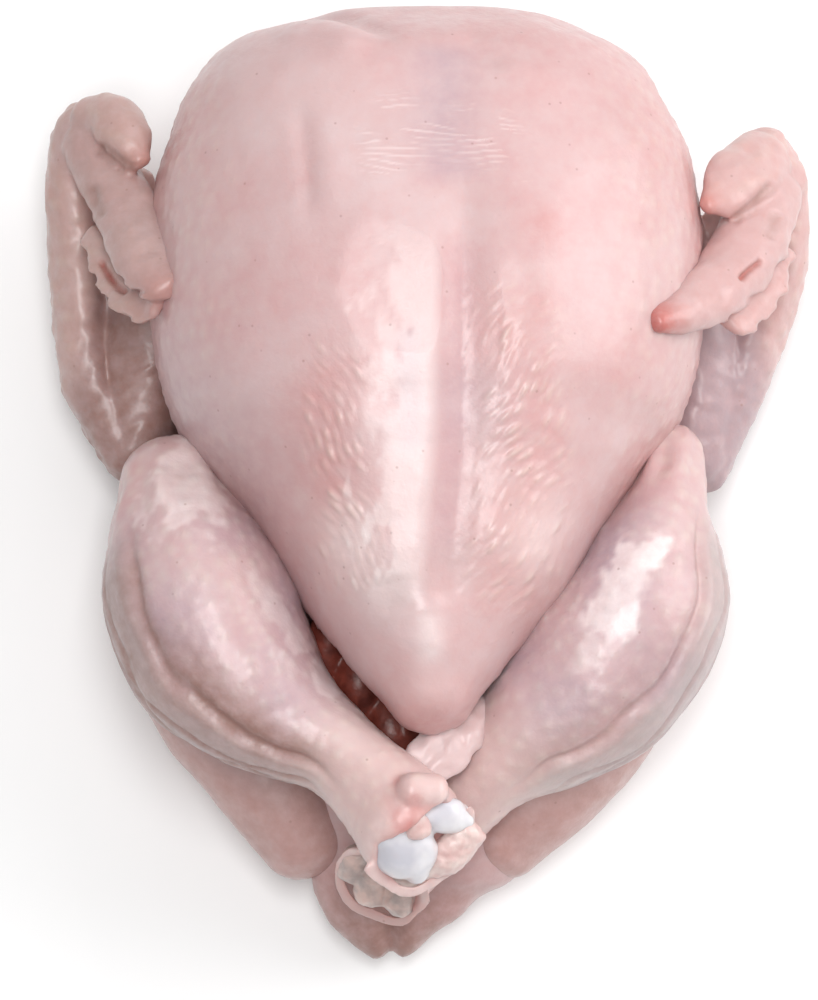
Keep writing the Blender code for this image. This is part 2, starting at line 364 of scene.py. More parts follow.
def makeSkin():
    # Raw poultry skin, scalded and plucked: thin, wet and part clear, so light soaks in, and the gloss
    # breaks up over fine wrinkles and over the small mounds that the feathers grew from
    finish = skinFinish
    material, tree, shader = newMaterial("raw poultry skin, scalded and plucked")
    place = addNode(tree, "TexCoord").outputs["Object"]
    names = [*finish["tints"], "wrinkle", "paleMoundsAndLeafHighlight"]
    mask = {name: addNode(tree, "Attribute", {"attribute_name": name}).outputs["Fac"] for name in names}
    cloud = noiseNode(tree, place, finish["cloudMm"], 4.0, 0.6).outputs["Fac"]
    mottle = noiseNode(tree, place, finish["mottleMm"], 3.0, 0.6).outputs["Fac"]
    addUp = {"operation": "MULTIPLY_ADD"}
    both = addNode(tree, "Math", addUp, {0: mottle, 1: finish["mottleShare"], 2: cloud}).outputs[0]
    share = remap(tree, both, finish["pinkFrom"], finish["pinkTo"])
    colour = mixColours(tree, share, linear(finish["pale"]), linear(finish["pink"]))
    colour = mixColours(tree, mask["paleMoundsAndLeafHighlight"], colour, linear(finish["paleMoundsAndLeafHighlight"]))
    uneven = remap(tree, mottle, 0.3, 0.7, 0.65, 1.15)  # no tint is quite even
    multiply = {"operation": "MULTIPLY"}
    for name, code in finish["tints"].items():
        clamped = {"operation": "MULTIPLY", "use_clamp": True}
        amount = addNode(tree, "Math", clamped, {0: mask[name], 1: uneven}).outputs[0]
        colour = mixColours(tree, amount, colour, linear(code))
    pits = addNode(tree, "TexVoronoi", None, {"Vector": place, "Scale": 1 / (finish["pitMm"] * mm)})
    pit = remap(tree, pits.outputs["Distance"], 0.03, 0.08, finish["pitShade"], 0.0)
    colour = mixColours(tree, pit, colour, linear(finish["tints"]["shade"]))
    tree.links.new(colour, shader.inputs["Base Color"])
    # Relief too fine for the mesh: fibres of wrinkle, pores and a grain
    grain = addNode(tree, "Attribute", {"attribute_name": "grain"}).outputs["Vector"]
    fibres = addNode(tree, "TexNoise", None, {"Vector": grain, "Scale": 1.0, "Detail": 2.0}).outputs["Fac"]
    relief = addNode(tree, "Math", multiply, {0: fibres, 1: mask["wrinkle"]}).outputs[0]
    relief = addNode(tree, "Math", multiply, {0: relief, 1: finish["fibreDepth"]}).outputs[0]
    for size, depth in (("poreMm", "poreDepth"), ("grainMm", "grainDepth")):
        layer = noiseNode(tree, place, finish[size], 2.0).outputs["Fac"]
        relief = addNode(tree, "Math", addUp, {0: layer, 1: finish[depth], 2: relief}).outputs[0]
    addBump(tree, shader, relief, finish["bumpMm"])
    spread = finish["roughnessSpread"]
    gloss = remap(tree, mottle, 0.3, 0.7, finish["roughness"] - spread, finish["roughness"] + spread)
    tree.links.new(gloss, shader.inputs["Roughness"])
    setUniform(shader, finish)
    return material


innerFinishes = {
    "wet joint cartilage, cut bare": {
        "light": "#E4E0E1", "dark": "#C2C0C8", "spotMm": 14, "reliefMm": 4.0, "reliefDepth": 0.1,
        "roughness": 0.3, "subsurface": 0.35, "scatterMm": 2.5, "wet": 0.7, "wetRoughness": 0.16,
    },
    "soft raw fat": {
        "light": "#DCC8C2", "dark": "#CFA8A4", "spotMm": 7, "reliefMm": 2.0, "reliefDepth": 0.25,
        "roughness": 0.4, "subsurface": 0.35, "scatterMm": 2.0, "wet": 0.5, "wetRoughness": 0.2,
    },
    "thin wet membrane over the joint": {
        "light": "#CDB3AB", "dark": "#A39490", "spotMm": 5, "reliefMm": 2.5, "reliefDepth": 0.3,
        "roughness": 0.35, "subsurface": 0.3, "scatterMm": 2.0, "wet": 0.6, "wetRoughness": 0.16,
    },
    "wet dark meat of the cavity": {
        "light": "#8E4538", "dark": "#5A241C", "spotMm": 7, "reliefMm": 2.0, "reliefDepth": 0.3,
        "roughness": 0.4, "subsurface": 0.2, "scatterMm": 1.5, "wet": 0.25, "wetRoughness": 0.25,
    },
}
innerShared = {"roughnessSpread": 0.05, "scatterColour": (1.0, 0.6, 0.5)}


def makeInner(name):
    # What shows where the skin stops. Cartilage is smooth, pearly and blue in its hollows; fat is cream
    # with pink and a little rough; the membrane is grey and glassy; the meat in the cavity is dark red
    finish = {**innerFinishes[name], **innerShared}
    material, tree, shader = newMaterial(name)
    place = addNode(tree, "TexCoord").outputs["Object"]
    spot = noiseNode(tree, place, finish["spotMm"], 3.0).outputs["Fac"]
    share = remap(tree, spot, 0.35, 0.65)
    colour = mixColours(tree, share, linear(finish["light"]), linear(finish["dark"]))
    tree.links.new(colour, shader.inputs["Base Color"])
    rough = noiseNode(tree, place, finish["reliefMm"], 3.0).outputs["Fac"]
    addBump(tree, shader, rough, finish["reliefDepth"])
    spread = finish["roughnessSpread"]
    gloss = remap(tree, spot, 0.0, 1.0, finish["roughness"] - spread, finish["roughness"] + spread)
    tree.links.new(gloss, shader.inputs["Roughness"])
    setUniform(shader, finish)
    return material


skin = makeSkin()
cartilage, fat, membrane, darkMeat = (makeInner(name) for name in innerFinishes)
print("finishes")


def dress(piece, material, masks=None, grain=None):
    # Paints a piece's masks, gives it its material and puts it on the body
    if material is skin:
        for name in [*skinFinish["tints"], "wrinkle", "paleMoundsAndLeafHighlight"]:
            paint(piece, name, masks.get(name, 0) + np.zeros(len(piece.data.vertices)))
        paintVector(piece, "grain", grain)
    settle(piece)
    piece.data.materials.append(material)
    ride(piece)
    return piece


torsoSettings = {
    "voxel": 1.7, "smoothing": 4, "fanCuts": 2,
    "leafLength": 7.5, "leafWidth": 2.4, "leafHeight": 0.8, "crepeHeight": 0.13,
    "moundSpacing": 5.2, "moundHeight": 0.5,
    "keelSheen": 0.36, "tipSheen": 0.5,
}
neckStart, neckLevel = 100, 54
breastRows = [
    (129, -1, 48, 37, 81), (125, -1, 56.5, 28, 90), (119, -1, 63, 18.5, 97.5), (112, -1, 67.5, 12, 102),
    (102, -1, 72, 7, 107), (88, -0.6, 77, 2, 111), (64, 0, 79, -2, 114), (38, 0.2, 78, -3, 115),
    (14, 0.5, 70.5, 0, 113.5), (-4, 1, 58, 7, 111.5), (-16, 1.2, 49, 14, 109.5), (-28, 1.2, 41.5, 22, 107),
    (-40, 0.8, 34, 31, 104), (-51, 0.9, 25, 41, 100), (-60, 1.3, 18, 50, 95), (-66, 1.6, 12, 57, 90),
]
backRows = [
    (88, 0, 46, 0, 44), (55, 0, 56, -1, 58), (15, 0, 58, -1, 60), (-25, 0, 58, -1, 56), (-60, 0, 54, 0, 46),
    (-88, 0, 42, 1, 37), (-108, 0, 27, 3, 30),
]
tailRows = [
    (-9, -98, 17, 22, 13), (-10, -112, 15, 24, 12), (-11, -121, 13.5, 19, 10), (-11, -128, 12, 10, 7),
]
neckRows = [
    (8, 96, 88, 18, 5), (9, 113, 81, 28, 7), (10, 125, 69, 33, 9), (10, 128, 48, 34, 9),
    (7, 120, 24, 31, 8), (3, 104, 10, 26, 7),
]
cavityRows = [
    (-3, -106, 50, 24, 15), (-2, -84, 46, 31, 20), (0, -52, 46, 36, 27), (0, -8, 48, 38, 29),
    (0, 30, 50, 34, 26),
]

# The keel's edge and, across it, how the breast's top departs from a plain arch: offset to the right, height
keelLine = [(-2.5, -62, 0), (-2.5, -45, 0), (-0.5, -25, 0), (2, 0, 0), (2.4, 60, 0), (3, 84, 0)]
keelProfile = [
    (-42, 0), (-33, 0.3), (-25, 0.8), (-18, 1.0), (-12, 0.8), (-7, 0.5), (-3, 0.3), (0, -0.1), (3, -0.9),
    (6, -1.8), (8, -2.1), (11, -1.7), (15, -0.6), (20, 0.6), (25, 1.3), (31, 1.3), (39, 0.4), (48, 0),
]
breastFolds = [  # line, width, height
    ([(3, 122, 0), (4, 96, 0), (6, 72, 0), (9, 52, 0)], 15, -1.8),  # wide dip before the neck
    ([(-6, 34, 0), (-5, 15, 0), (-4.5, -2, 0)], 5, -0.3),  # hollow beside the keel's edge
    ([(2, -38, 0), (2.5, -48, 0), (2, -58, 0)], 6, 1.3),  # the keel's tip
    ([(-11, -34, 0), (-9, -46, 0)], 6, -0.9),
    ([(-36, 100, 0), (-33, 80, 0), (-32, 58, 0)], 2.2, -0.7),
    ([(-30, 100, 0), (-27, 80, 0), (-26, 58, 0)], 4.5, 0.5),
]
neckFolds = [
    ([(-52, 128, 0), (-34, 131, 0), (-22, 126, 0), (-6, 116, 0)], 2.8, -2.4),
    ([(-46, 123, 0), (-30, 121, 0), (-14, 112, 0)], 6, 1.6),
    ([(8, 121, 0), (16, 112, 0), (22, 104, 0)], 4, -1.0),
    ([(62, 114, 0), (46, 124, 0), (30, 128, 0)], 4, -1.2),
]
tailCleft = ([(-11, -100, 0), (-10, -138, 0)], 2.6, -3.0)
leftFan = [(-27.5, 34, 0), (-26.5, 13, 0), (-25, -6, 0), (-22, -26, 0), (-17.5, -44, 0)]
rightFan = [(21, 52, 0), (25.5, 28, 0), (28, 2, 0), (26.5, -20, 0), (21, -38, 0), (15, -50, 0)]
leftSlope, rightSlope = (-0.5, 0.87), (0.62, 0.78)  # the long way of each fan's wrinkles


def cavityDepth(points):  # 1 on the wall of the cavity and 0 on the skin
    path = smoothRows(cavityRows, 60)[0][::-1]
    x, z, wide, deep = (np.interp(points[:, 1], path[:, 1], path[:, column]) for column in (0, 2, 3, 4))
    away = np.hypot((points[:, 0] - x) / wide, (points[:, 2] - z) / deep)
    return (1 - ease(away, 1.0, 1.1)) * ease(points[:, 1], -104, -97) * ease(-points[:, 1], -70, -60)


def shapeBreast(torso):
    points, normals = pointsOf(torso), normalsOf(torso)
    upper = ease(normals[:, 2], 0.2, 0.7) * ease(points[:, 2], 62, 80)
    keelX = np.interp(points[:, 1], *np.array(keelLine).T[1::-1])
    profile = smoothRows(keelProfile, 120)[0]
    offset = points[:, 0] - keelX
    reach = ease(points[:, 1], -64, -38) * (1 - ease(points[:, 1], 52, 88))
    points[:, 2] += np.interp(offset, profile[:, 0], profile[:, 1]) * reach * upper
    up = np.zeros_like(normals)
    up[:, 2] = upper
    for line, width, height in breastFolds:
        points += up * (height * band(points, line, width, 0.3))[:, None]
    neck = normals * ease(points[:, 1], 98, 112)[:, None]
    for line, width, height in neckFolds:
        points += neck * (height * band(points, line, width, 0.3))[:, None]
    rear = normals * ease(-points[:, 1], 106, 114)[:, None]
    line, width, height = tailCleft
    points += rear * (height * band(points, line, width, 0.1))[:, None]
    movePoints(torso, points)


def fanWeight(points):
    side = ease(points[:, 2], 70, 82)
    return band(points, leftFan, 8.5, 0.2) * side, band(points, rightFan, 11.5, 0.2) * side


def crepeWeight(points):  # where the skin is drawn into fine cross lines before the neck
    return spots(points, [
        (-8, 89, 109, 12, 0.9), (16, 87, 109, 11, 0.9), (-13, 75, 111, 9, 0.4), (27, 77, 109, 8, 0.5),
    ])


def leafPlace(points, slope):  # place along and across wrinkles whose long way has this direction
    x, y = slope
    along = points[:, 0] * x + points[:, 1] * y
    across = points[:, 0] * y - points[:, 1] * x
    return along, across + 1.2 * np.sin(along / 5)


def roughenTorso(torso):
    settings = torsoSettings
    points, normals = pointsOf(torso), normalsOf(torso)
    inside = cavityDepth(points)
    relief = ripples(points, 22, 3.1) * 0.6 + ripples(points, 9, 7.7) * 0.15
    flank = ease(np.abs(points[:, 0]), 42, 66) * ease(points[:, 2], 10, 40)
    spacing = settings["moundSpacing"]
    bumps = mounds((points[:, 2] - 0.5 * np.abs(points[:, 0])) / spacing, points[:, 1] / spacing, 2.0)
    relief += bumps * (0.12 + 0.88 * flank) * settings["moundHeight"]
    clumps = 0.35 + 0.65 * ease(ripples(points, 8, 1.7), -0.25, 0.2)
    left, right = fanWeight(points)
    leaves = 0
    for weight, slope, seed in ((left, leftSlope, 4.0), (right, rightSlope, 9.0)):
        along, across = leafPlace(points, slope)
        leaf = mounds(along / settings["leafLength"], across / settings["leafWidth"], seed, 0.36)
        leaves = leaves + leaf * clumps * weight
    relief += leaves * settings["leafHeight"]
    waves = np.sin((points[:, 1] + 0.06 * points[:, 0] + 2.2 * ripples(points, (14, 6, 20), 4.0)) * 3.6)
    crepe = waves * crepeWeight(points) * ease(ripples(points, (12, 5, 20), 2.0), -0.2, 0.15)
    relief += crepe * settings["crepeHeight"]
    relief = relief * (1 - inside) + ripples(points, 6, 11.0) * 0.8 * inside
    movePoints(torso, points + normals * relief[:, None])
    return bumps * flank, leaves * (1 - inside), ease(crepe, 0.25, 0.7)


def torsoGrain(points):
    # Coordinates for fine fibres: along the fans' wrinkles, and straight across before the neck
    leftAlong, leftAcross = leafPlace(points, leftSlope)
    rightAlong, rightAcross = leafPlace(points, rightSlope)
    isRight = points[:, 0] > 4
    along, across = np.where(isRight, rightAlong, leftAlong), np.where(isRight, rightAcross, leftAcross)
    isNeck = points[:, 1] > 66
    along, across = np.where(isNeck, points[:, 0], along), np.where(isNeck, points[:, 1], across)
    return np.stack([across / 1.1, along / 6.5, points[:, 2] / 20], -1)


def keelSheen(points):
    # Painted highlight beside the keel, where the overhead lamp is reflected, and on the keel's tip: a
    # straight edge on the right, a ragged one on the left
    keelX = np.interp(points[:, 1], *np.array(keelLine).T[1::-1])
    offset = points[:, 0] - keelX
    reach = ease(points[:, 1], -48, -34) * (1 - ease(points[:, 1], 46, 66)) * ease(points[:, 2], 84, 92)
    ragged = ripples(points, (4, 9, 9), 5.0) * 12 + ripples(points, (1.6, 3.5, 4), 6.0) * 6
    strip = ease(offset + ragged, -17, -11) * (1 - ease(offset, -1.5, 2.5)) * reach
    tip = band(points, [(1, -42, 0), (1, -50, 0), (1.5, -60, 0)], 4, 0.3) * ease(points[:, 2], 74, 84)
    return torsoSettings["keelSheen"] * strip + torsoSettings["tipSheen"] * tip


torsoPatches = {  # soft spots of each tint: x, y, z, radius, strength
    "blush": [
        (-31, -8, 104, 9, 0.3), (-32, -26, 97, 7, 0.25), (-26, -42, 92, 7, 0.1), (-34, 14, 108, 9, 0.2),
        (32, 60, 112, 7, 0.45), (27, -22, 104, 12, 0.15), (20, -44, 97, 10, 0.2), (0, -70, 82, 12, 0.6),
        (66, 88, 80, 20, 0.4), (-68, 92, 66, 22, 0.4), (30, 120, 80, 28, 0.25), (52, 30, 100, 16, 0.2),
    ],
    # painted shade: lilac and shade over the left side, away from the lamps, and shade on the tail in the
    # right hock's shadow
    "lilac": [(-60, 0, 70, 30, 0.3), (-64, 30, 60, 30, 0.3), (14, 12, 108, 12, 0.2)],
    "shade": [(-58, -6, 70, 22, 0.3), (-70, 60, 40, 30, 0.3), (-11, -128, 10, 30, 1.1)],
    "silver": [(-10, -40, 102, 8, 0.5), (6, -30, 103, 7, 0.2)],
    # painted highlights that lighten both flanks, the keel's tip and the left shoulder
    "paleAndHighlight": [
        (-23, -27, 102, 11, 0.6), (33, -26, 99, 12, 0.45), (1, -66, 88, 9, 0.22), (-34, 100, 96, 20, 0.15),
    ],
    "blood": [(-12, -66, 66, 8, 0.35), (-56, 4, 60, 6, 0.5)],
}
# painted shade, in lilac and blush, along the keel's groove and in the hollows beside the keel's edge and
# before the neck
grooveShadeLine = [(10, 62, 0), (9.5, 35, 0), (8, 12, 0), (6, -12, 0), (4.5, -38, 0)]
hollowShadeBands = [
    ([(-5, 34, 0), (-4.5, 14, 0), (-4, -4, 0)], 3.5, 0.45),
    ([(5, 118, 0), (5, 92, 0), (7, 70, 0)], 9, 0.45),
]


def paintTorso(points, normals, bumps, leaves, crepe):
    edge = (1 - ease(normals[:, 2], 0.1, 0.65)) * ease(points[:, 1], -60, 30)
    fans = sum(fanWeight(points))
    grooveShade = band(points, grooveShadeLine, 5)
    masks = {name: spots(points, places) for name, places in torsoPatches.items()}
    masks["blush"] += 0.35 * edge + 0.3 * fans + 0.25 * grooveShade
    masks["lilac"] += bands(points, hollowShadeBands) + 0.25 * grooveShade
    # painted highlights: the strip beside the keel and the crests of the crepe lines
    masks["paleAndHighlight"] += keelSheen(points) + 0.35 * crepe
    masks["flesh"] = cavityDepth(points)
    # painted highlight on the fans' wrinkle leaves; paler skin on the flank mounds
    masks["paleMoundsAndLeafHighlight"] = bumps * 0.5 + 0.9 * leaves
    masks["wrinkle"] = 0.05 + 0.8 * fans + crepeWeight(points)
    return masks


def makeTorso():
    settings = torsoSettings
    lobes = [
        lobe("torso", trunkRows(breastRows, 0.47), square=0.84, blunt=(0.25, 0.5), fine=128),
        lobe("back", trunkRows(backRows, 0.45), square=0.85, blunt=(0.5, 0.5)),
        lobe("tail", tailRows),
        lobe("neck", neckRows, top=(0, 1, 0)),
    ]
    torso = fuse("torso", lobes, settings["voxel"], settings["smoothing"], [lobe("cavity", cavityRows)])
    points = pointsOf(torso)
    keel = band(points, keelLine, 9, 0.1) * ease(points[:, 2], 80, 88)
    refine(torso, sum(fanWeight(points)) + keel + crepeWeight(points) > 0.3, settings["fanCuts"])
    shapeBreast(torso)
    bumps, leaves, crepe = roughenTorso(torso)
    points = pointsOf(torso)
    masks = paintTorso(points, normalsOf(torso), bumps, leaves, crepe)
    return dress(torso, skin, masks, torsoGrain(points))


torso = makeTorso()
print("torso", len(torso.data.polygons))


innardSettings = {"voxel": 0.9, "smoothing": 1}
innardRows = [
    [(-10, -80, 40, 8, 9), (-10, -71, 46, 9, 9), (-9, -56, 44, 8, 8)],
    [(-1, -77, 42, 7, 9), (-0.5, -68, 48, 8.5, 9), (1, -54, 46, 8, 8)],
    [(-21, -68, 42, 7, 8), (-19, -57, 50, 7.5, 8), (-17, -44, 47, 7, 7)],
    [(-30, -54, 48, 6, 8), (-27, -43, 54, 6, 7)],
    [(8, -74, 46, 6, 8), (9, -64, 50, 6, 8)],
]
ventFlapSettings = {"voxel": 0.7, "smoothing": 3, "foldLength": 1.5, "foldHeight": 0.5, "lumpHeight": 0.8}
ventFlapRows = [
    (17, -66, 61, 5, 2.4), (10, -73, 64.5, 7.5, 2.4), (3, -79.5, 66.5, 8, 2.4), (-4, -85, 68, 5, 2),
]


def makeInnards():
    lobes = [lobe("innards", rows, fine=32) for rows in innardRows]
    innards = fuse("innards", lobes, innardSettings["voxel"], innardSettings["smoothing"])
    return dress(innards, darkMeat)


def makeVentFlap():
    settings = ventFlapSettings
    body = lobe("ventFlap", ventFlapRows, fine=48)
    flap = fuse("ventFlap", [body], settings["voxel"], settings["smoothing"])
    points, normals = pointsOf(flap), normalsOf(flap)
    across = points[:, 0] * 0.75 + points[:, 1] * -0.66  # from fold to fold
    folds = np.sin(across / settings["foldLength"]) * ease(ripples(points, 7, 2.0), -0.3, 0.3)
    relief = folds * settings["foldHeight"] + ripples(points, 4, 6.0) * settings["lumpHeight"]
    points += normals * relief[:, None]
    movePoints(flap, points)
    masks = {"paleAndHighlight": 0.35, "silver": 0.15, "wrinkle": 0.3, "blush": spots(points, [(14, -69, 64, 6, 0.7)])}
    return dress(flap, skin, masks, points / (1.5, 4, 3))


innards = makeInnards()
ventFlap = makeVentFlap()
print("cavity", len(innards.data.polygons), len(ventFlap.data.polygons))


legSettings = {
    "voxel": 0.95, "smoothing": 4,
    "moundSpacing": 4.7, "moundHeight": 0.3,
    "rimSize": (1.6, 2.0), "cupDepth": 3.0,
}
legFold = {  # the fold along the outer side, in degrees from the upper side and in millimetres
    "lipStart": (38, 48), "lipEnd": (84, 100), "lipHeight": 1.3,
    "grooveAt": 37, "grooveWidth": 4.5, "grooveDepth": 1.2,
    "undercutAt": 97, "undercutWidth": 7, "undercutDepth": 2.4,
    "streaksAt": (66, 80), "streakWidth": 2.6, "streakDepth": 0.7,
}

# Each hock's end face: its middle, the way it looks, the way across it, and its radius
hockLeft = {
    "middle": (-1, -105.5, 78), "facing": (0.42, -0.62, 0.66), "across": (0.83, 0.56, 0), "radius": 15.8,
}
hockRight = {
    "middle": (-13, -114.5, 43), "facing": (-0.35, -0.70, 0.62), "across": (0.894, -0.447, 0), "radius": 13,
}

legLeft = {
    "seed": 1.0, "outer": 1, "hock": hockLeft, "rim": (-190, 0),
    # painted shade in the fold and its streaks, stronger on the left leg, away from the lamps
    "foldShade": 0.55, "streakShade": 0.75,
    "reds": [(-1.8, 13.5), (3.6, 15.5), (-3, -9), (-10, -3)],  # blood at the cut, across and up on the hock
    "knob": [(5, 15, -4, 5, 5), (10.5, 11.5, -2, 5, 4.5)],
    "drumstick": [
        (-72, -1, 52, 15.5, 17), (-68.5, -18, 55, 22.5, 25), (-64, -33, 57, 26.5, 28.5),
        (-57.5, -49, 58, 26.5, 28), (-48, -61, 60, 23, 24.5), (-36.5, -71, 63, 16.8, 18),
        (-23.5, -80, 67, 12.5, 13), (-11, -92.5, 72, 14, 13.5), (-5, -100, 75, 15.5, 14.5),
    ],
    "thigh": [
        (-73, 2, 38, 14, 17), (-68.5, -24, 30, 23, 29), (-58, -54, 26, 24, 26), (-46, -79, 22, 18, 21),
        (-35, -98, 18, 13.5, 15),
    ],
    "glints": [  # painted highlights: line, width, strength
        ([(-48, -31, 0), (-42, -40, 0), (-34, -50, 0)], 3.2, 0.35),
        ([(-31, -55, 0), (-27, -62, 0)], 2.8, 0.4),
        ([(-42, -53, 0), (-37, -58, 0)], 1.8, 0.2),
        ([(-63, 4, 0), (-67, -8, 0)], 12, 0.5),
    ],
}
legRight = {
    "seed": 5.0, "outer": -1, "hock": hockRight, "rim": (-180, 180),
    "foldShade": 0.2, "streakShade": 0.3,
    "reds": [(-4, 8), (4, 8), (3, 0)],
    "drumstick": [
        (70, 6, 49, 9, 13), (67, -8, 52, 13, 18), (64, -23, 54, 19.5, 23), (60, -38, 55, 24, 27),
        (47.5, -56, 55, 25, 25.5), (32.5, -69, 53.5, 20.5, 21), (21, -80, 50.5, 14, 15),
        (13, -88, 47.5, 11.5, 12.5), (2, -98, 44.5, 12, 12.5), (-8, -108, 43, 12.5, 12),
    ],
    "thigh": [
        (66, 3, 36, 11, 15), (58, -22, 29, 19, 28), (49, -54, 26, 23.5, 26), (35, -79, 22, 19.5, 21),
        (20, -97, 18, 14.5, 15),
    ],
    "glints": [
        ([(60, -26, 0), (54, -35, 0), (50, -43, 0)], 7.5, 0.65),
        ([(46, -50, 0), (42, -57, 0)], 3.5, 0.35),
        ([(66, -20, 0), (62, -28, 0)], 3, 0.2),
    ],
}


def hockAxes(hock):
    facing, across = np.array(hock["facing"]), np.array(hock["across"])
    facing = facing / np.linalg.norm(facing)
    across = across / np.linalg.norm(across)
    return np.array(hock["middle"], float), across, np.cross(facing, across), facing


def onHock(hock, rows):  # rows given across, up and out of the hock's face -> rows in the bird's frame
    middle, across, up, facing = hockAxes(hock)
    return [(*(middle + p * across + q * up + out * facing), *sizes) for p, q, out, *sizes in rows]


def hockPlace(points, hock):
    middle, across, up, facing = hockAxes(hock)
    away = points - middle
    return away @ across, away @ up, away @ facing


def rimRows(hock, start, end):
    rows = []
    for angle in np.radians(np.linspace(start, end, 12)):
        away = hock["radius"] * (1 + 0.06 * math.sin(angle * 5))
        rows.append((math.cos(angle) * away, math.sin(angle) * away, 0, *legSettings["rimSize"]))
    return onHock(hock, rows)


def pressHock(points, hock):
    # The shank ends in a cup: what lies past the face is pressed back to it, deeper in the middle
    p, q, out = hockPlace(points, hock)
    away = np.hypot(p, q) / hock["radius"]
    near = (1 - ease(away, 1.3, 1.6)) * (out > -20) * (1 - ease(q, 8, 11))  # the knob above stays whole
    level = -legSettings["cupDepth"] * (1 - ease(away, 0.55, 1.0))
    over = np.maximum(out - level, 0) * near
    return points - hockAxes(hock)[3] * over[:, None]


def legPlace(points, parts):
    # Place along the drumstick, degrees from its upper to its outer side, half width, and the fold's run
    far, turn, radius = limbPlace(points, parts["drumstick"])
    turn = turn * parts["outer"]
    wave = ripples(points, 14, parts["seed"] + 3) * 7
    run = ease(far, 12, 30) * (1 - ease(far, 92, 112))
    return far, turn, radius, wave, run


def shapeLeg(leg, parts):
    settings, fold, seed = legSettings, legFold, parts["seed"]
    points, normals = pointsOf(leg), normalsOf(leg)
    far, turn, radius, wave, run = legPlace(points, parts)
    lip = ease(turn + wave, *fold["lipStart"]) * (1 - ease(turn + wave, *fold["lipEnd"])) * run
    groove = ridge(turn + wave, fold["grooveAt"], fold["grooveWidth"]) * run
    undercut = ridge(turn + wave, fold["undercutAt"], fold["undercutWidth"]) * run
    (first, second), width = fold["streaksAt"], fold["streakWidth"]
    streaks = ridge(turn + wave * 1.8, first, width) + ridge(turn - wave, second, width)
    relief = fold["lipHeight"] * lip - fold["grooveDepth"] * groove
    relief -= fold["undercutDepth"] * undercut + fold["streakDepth"] * streaks * run
    relief += ripples(points, 17, seed) * 0.7 + ripples(points, 5, seed) * 0.15
    spacing = settings["moundSpacing"]
    bumps = mounds(far / spacing, np.radians(turn) * radius / spacing, seed)
    isUpper = points[:, 2] > 40
    relief += bumps * settings["moundHeight"] * (0.35 + 0.65 * isUpper) * (1 - 0.6 * lip)
    knee = ridge(far, 6, 9) * np.sin(np.radians(turn) * 9 + wave * 0.3) * 0.7  # wrinkles over the knee
    relief += knee * isUpper
    movePoints(leg, points + normals * relief[:, None])
    return bumps


def paintLeg(leg, parts, bumps):
    points = pointsOf(leg)
    far, turn, radius, wave, run = legPlace(points, parts)
    upper = ease(points[:, 2], 36, 50)
    lower = 1 - upper
    lip = ease(turn + wave, *legFold["lipStart"]) * run * upper
    # painted shadow above the fold, and painted shade on the fold itself
    shadowAboveFold = ridge(turn + wave, 24, 14) * ease(far, 35, 65) * (1 - ease(far, 92, 112)) * upper
    foldShade = lip + 1.4 * shadowAboveFold
    first, second = legFold["streaksAt"]
    streaks = ridge(turn + wave, 36, 7) + 0.6 * ridge(turn + wave * 1.8, first, 4)
    streaks += 0.5 * ridge(turn - wave, second, 3)
    p, q, out = hockPlace(points, parts["hock"])
    away, edge = np.hypot(p, q), parts["hock"]["radius"]
    face = (1 - ease(away, edge - 3, edge)) * ease(out, -9, -4)
    rim = ridge(away, edge, 3.5) * ease(out, -6, -1)
    reds = sum(np.exp(-((p - a) ** 2 + (q - b) ** 2) / 6) for a, b in parts["reds"])
    ragged = 0.8 * ripples(points, 7, 9.0) + 0.4 * ripples(points, 2.5, 2.0)
    glints = sum(
        strength * (1 - ease(nearest(points, curveThrough(line))[0] / width + ragged, 0.6, 1.2))
        for line, width, strength in parts["glints"]
    )
    clouds = 0.45 + 0.5 * ripples(points, 20, 3.0)
    masks = {
        "paleMoundsAndLeafHighlight": bumps * 0.6 * upper,
        "lilac": upper * ease(far, 5, 30) * (1 - ease(far, 80, 100)) * clouds,
        "silver": 0.6 * lip,
        "cream": ease(far, 84, 108) * 0.15 * upper + lower * 0.15,
        # painted shade: the low parts near the table, the streak grooves and the fold
        "shade": lower * 0.42 + parts["streakShade"] * streaks * run * upper + parts["foldShade"] * foldShade,
        # painted highlights along the leg's top and on the shank before the hock, and a paler rim round the
        # cut
        "paleAndHighlight": glints * upper + 0.25 * rim + 0.2 * ease(far, 84, 104) * upper,
        "blush": lower * 0.3 + rim * 0.25 + face * 0.6 + ease(far, 98, 116) * 0.15 * upper,
        "blood": face * 0.35 + 1.6 * reds * ease(out, -12, -6),
        "wrinkle": 0.12 + 0.6 * lip + 0.35 * ease(far, 45, 75) * upper,
    }
    return masks, np.stack([np.radians(turn) * radius / 1.3, far / 7, np.full(len(far), parts["seed"])], -1)


def makeLeg(name, parts):
    lobes = [lobe(name, parts["drumstick"]), lobe("thigh", parts["thigh"])]
    lobes.append(lobe("rim", rimRows(parts["hock"], *parts["rim"]), top=parts["hock"]["facing"], fine=48))
    if "knob" in parts:
        lobes.append(lobe("knob", onHock(parts["hock"], parts["knob"]), fine=32))
    leg = fuse(name, lobes, legSettings["voxel"], 0)
    movePoints(leg, pressHock(pointsOf(leg), parts["hock"]))
    modify(leg, "SMOOTH", factor=0.5, iterations=legSettings["smoothing"])
    bumps = shapeLeg(leg, parts)
    masks, grain = paintLeg(leg, parts, bumps)
    return dress(leg, skin, masks, grain)


legs = [makeLeg("legLeft", legLeft), makeLeg("legRight", legRight)]
print("legs", *(len(leg.data.polygons) for leg in legs))


